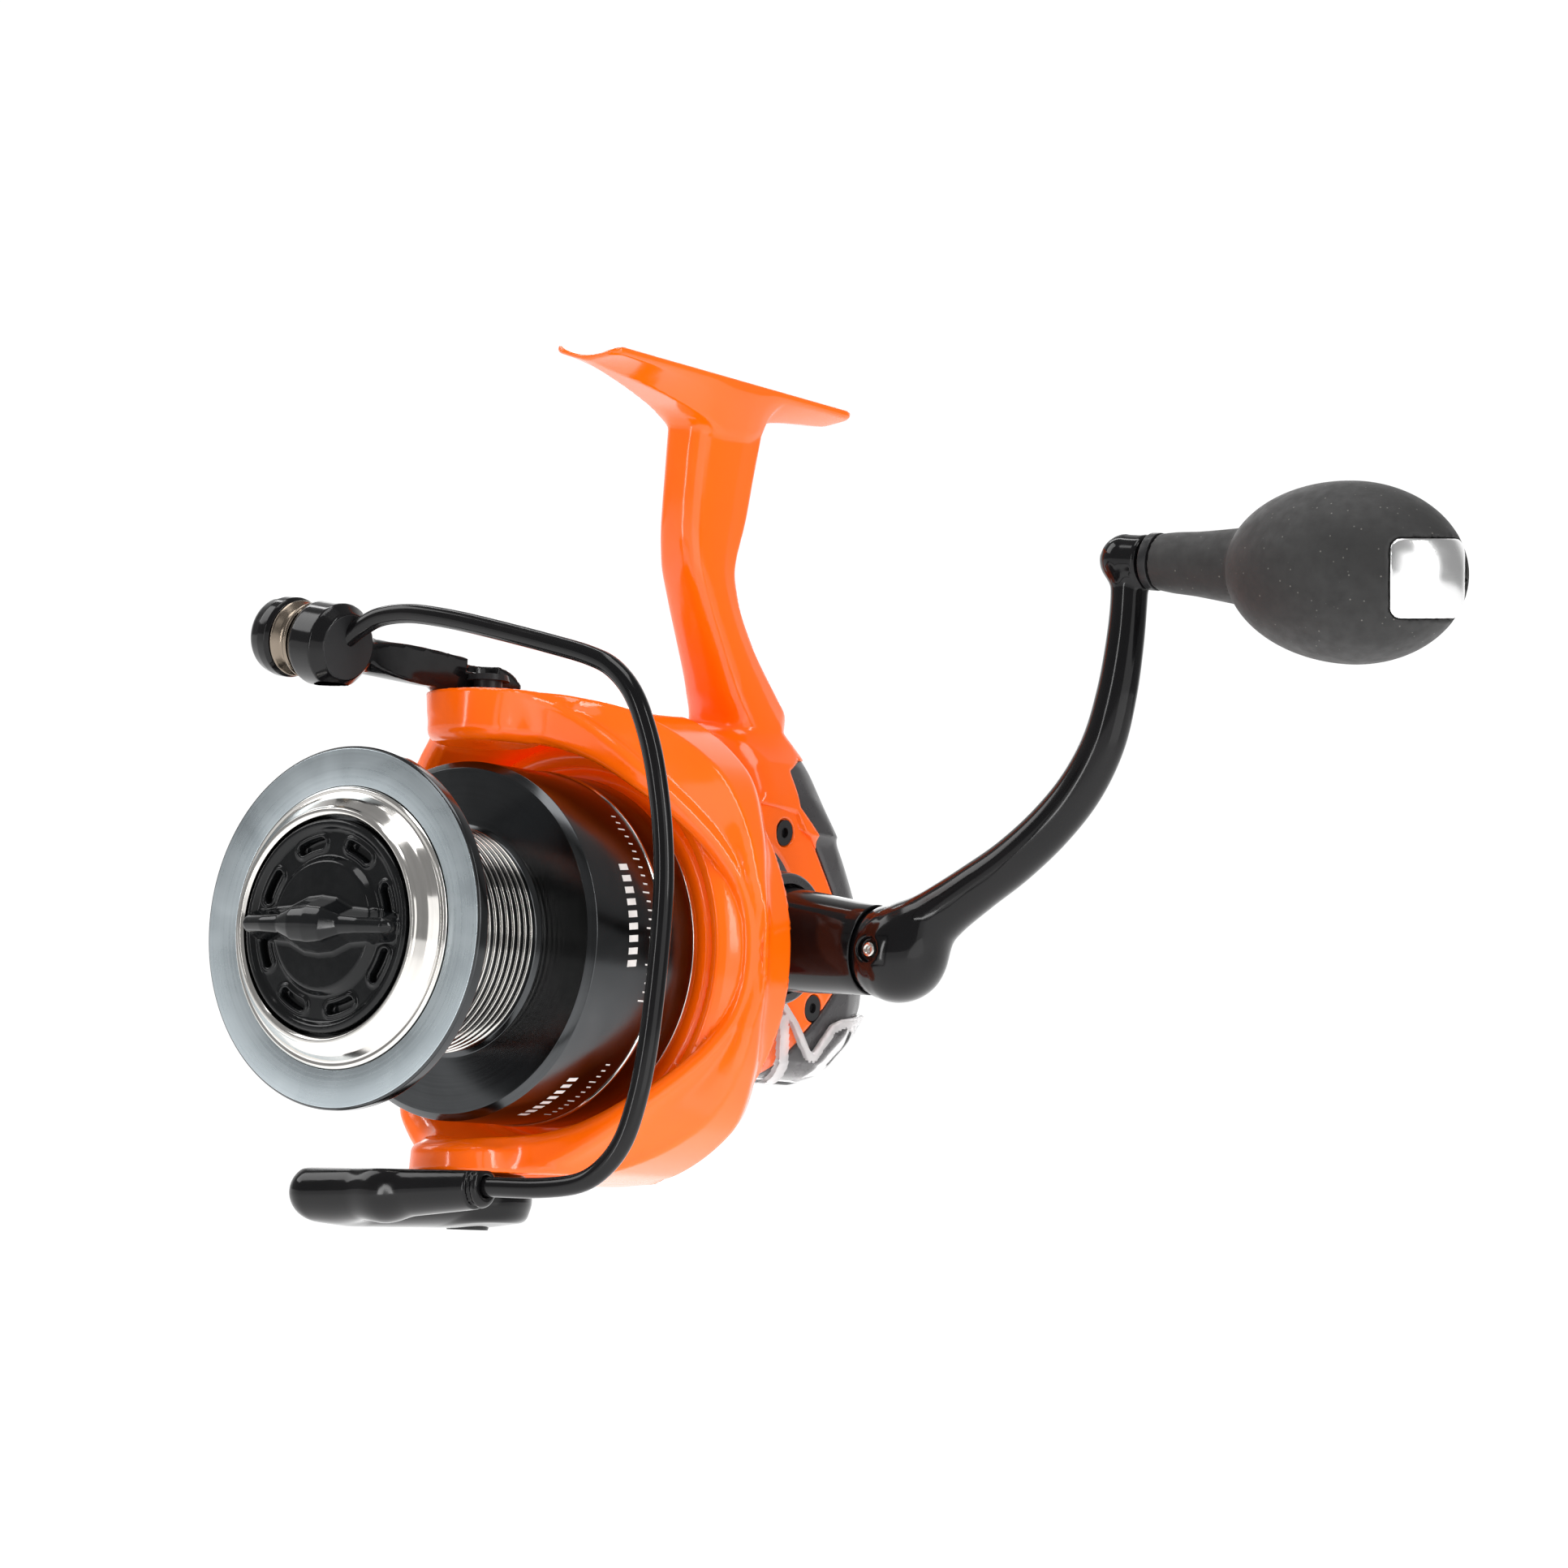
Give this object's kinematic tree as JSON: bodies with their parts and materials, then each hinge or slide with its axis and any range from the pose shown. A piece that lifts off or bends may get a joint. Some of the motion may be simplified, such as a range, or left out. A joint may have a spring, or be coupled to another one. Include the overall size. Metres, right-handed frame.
{
  "type": "spinning reel",
  "caption": "Open-face spinning reel with an oscillating spool, wire bail on a turning rotor, folding crank with egg knob, front drag and a foot that clamps under a rod",
  "frame": {"origin": "middle of the foot's rod seat, on the bottom line of its hollow", "axes": "+Z out of the foot into the rod, -Y towards the rod tip (the way the spool faces), +X towards the handle"},
  "size_m": [0.1863, 0.1412, 0.1463],
  "materials": {
    "orange_shell": "gloss, painted",
    "dark_shell": "satin",
    "smoke_shell": "clear smoke, gloss",
    "black_metal": "gloss black",
    "black_plastic": "gloss black",
    "spool_metal": "satin black, lip satin grey-blue",
    "bright_metal": "polished",
    "steel": "machined",
    "brass": "machined",
    "white_plastic": "matte",
    "grip_foam": "matte, fine speckle",
    "carbon": "matte, woven",
    "seal_rubber": "matte"
  },
  "bodies": {
    "housing": {"body_housing": "orange_shell", "side_cover": "orange_shell", "rear_cover": "dark_shell", "rear_guard": "smoke_shell", "hub_collar": "dark_shell", "body_screws": "steel", "handle_cap": "black_plastic", "shaft_bearing_right": "steel", "shaft_bearing_left": "steel", "pinion_bearing": "steel", "clutch_housing": "black_plastic", "slider_guide": "steel"},
    "drive": {"drive_gear": "brass", "drive_shaft": "steel", "handle_tube": "black_metal"},
    "crank": {"crank_arm": "black_metal", "fold_pin": "steel", "knob_shaft": "steel"},
    "knob": {"knob_bush": "white_plastic", "knob_collar": "black_metal", "knob_grip": "grip_foam", "knob_plate": "bright_metal"},
    "rotor_head": {"rotor": "orange_shell", "pinion_gear": "brass", "clutch_sleeve": "steel", "rotor_nut": "steel", "bail_spring": "steel", "bail_screws": "steel", "arm_cover": "orange_shell"},
    "bail": {"bail_lever": "black_metal", "bail_wire": "black_metal", "bail_holder": "black_plastic", "roller_cap": "black_plastic", "roller_screw": "steel", "roller_bush": "white_plastic"},
    "roller": {"line_roller": "bright_metal"},
    "shaft": {"main_shaft": "steel", "shaft_slider": "white_plastic", "slider_screw": "steel", "keyed_washers": "steel", "click_gear": "white_plastic"},
    "osc_wheel": {"oscillation_gear": "white_plastic"},
    "spool_body": {"spool": "spool_metal", "spool_ring": "bright_metal", "spool_trim": "bright_metal", "drag_washers": "carbon", "drag_retainer": "steel", "click_pawl": "white_plastic"},
    "drag": {"drag_knob": "black_plastic", "drag_nut": "brass", "drag_spring": "steel", "drag_seal": "seal_rubber"}
  },
  "joints": [
    {"name": "handle_turn", "type": "hinge", "parent": "housing", "child": "drive", "pos_m": [0.02, 0.006, -0.0911], "axis": [1, 0, 0], "continuous": true},
    {"name": "crank_fold", "type": "hinge", "parent": "drive", "child": "crank", "pos_m": [0.0486, 0.006, -0.0911], "axis": [0, -1, 0], "range_deg": [0, 30]},
    {"name": "knob_spin", "type": "hinge", "parent": "crank", "child": "knob", "pos_m": [0.11, 0.006, -0.0246], "axis": [1, 0, 0], "continuous": true},
    {"name": "rotor_turn", "type": "hinge", "parent": "housing", "child": "rotor_head", "pos_m": [0, -0.02, -0.0978], "axis": [0, 1, 0], "continuous": true},
    {"name": "bail_flip", "type": "hinge", "parent": "rotor_head", "child": "bail", "pos_m": [0, -0.041, -0.0978], "axis": [0.1149, 0, -0.9934], "range_deg": [0, 105]},
    {"name": "roller_spin", "type": "hinge", "parent": "bail", "child": "roller", "pos_m": [-0.01855, -0.07029, -0.0531], "axis": [-0.9945, 0.07, 0.0782], "continuous": true},
    {"name": "spool_stroke", "type": "slide", "parent": "housing", "child": "shaft", "axis": [0, -1, 0], "range_m": [0, 0.017]},
    {"name": "spool_slip", "type": "hinge", "parent": "shaft", "child": "spool_body", "pos_m": [0, -0.05, -0.0978], "axis": [0, 1, 0], "continuous": true},
    {"name": "drag_turn", "type": "hinge", "parent": "shaft", "child": "drag", "pos_m": [0, -0.075, -0.0978], "axis": [0, 1, 0], "range_deg": [-360, 720]},
    {"name": "oscillator_turn", "type": "hinge", "parent": "housing", "child": "osc_wheel", "pos_m": [-0.0075, 0.022, -0.0972], "axis": [1, 0, 0], "continuous": true}
  ],
  "couplings": [
    {"joint": "rotor_turn", "follows": "handle_turn", "ratio": 4.4},
    {"joint": "oscillator_turn", "follows": "handle_turn", "ratio": -0.47826}
  ]
}
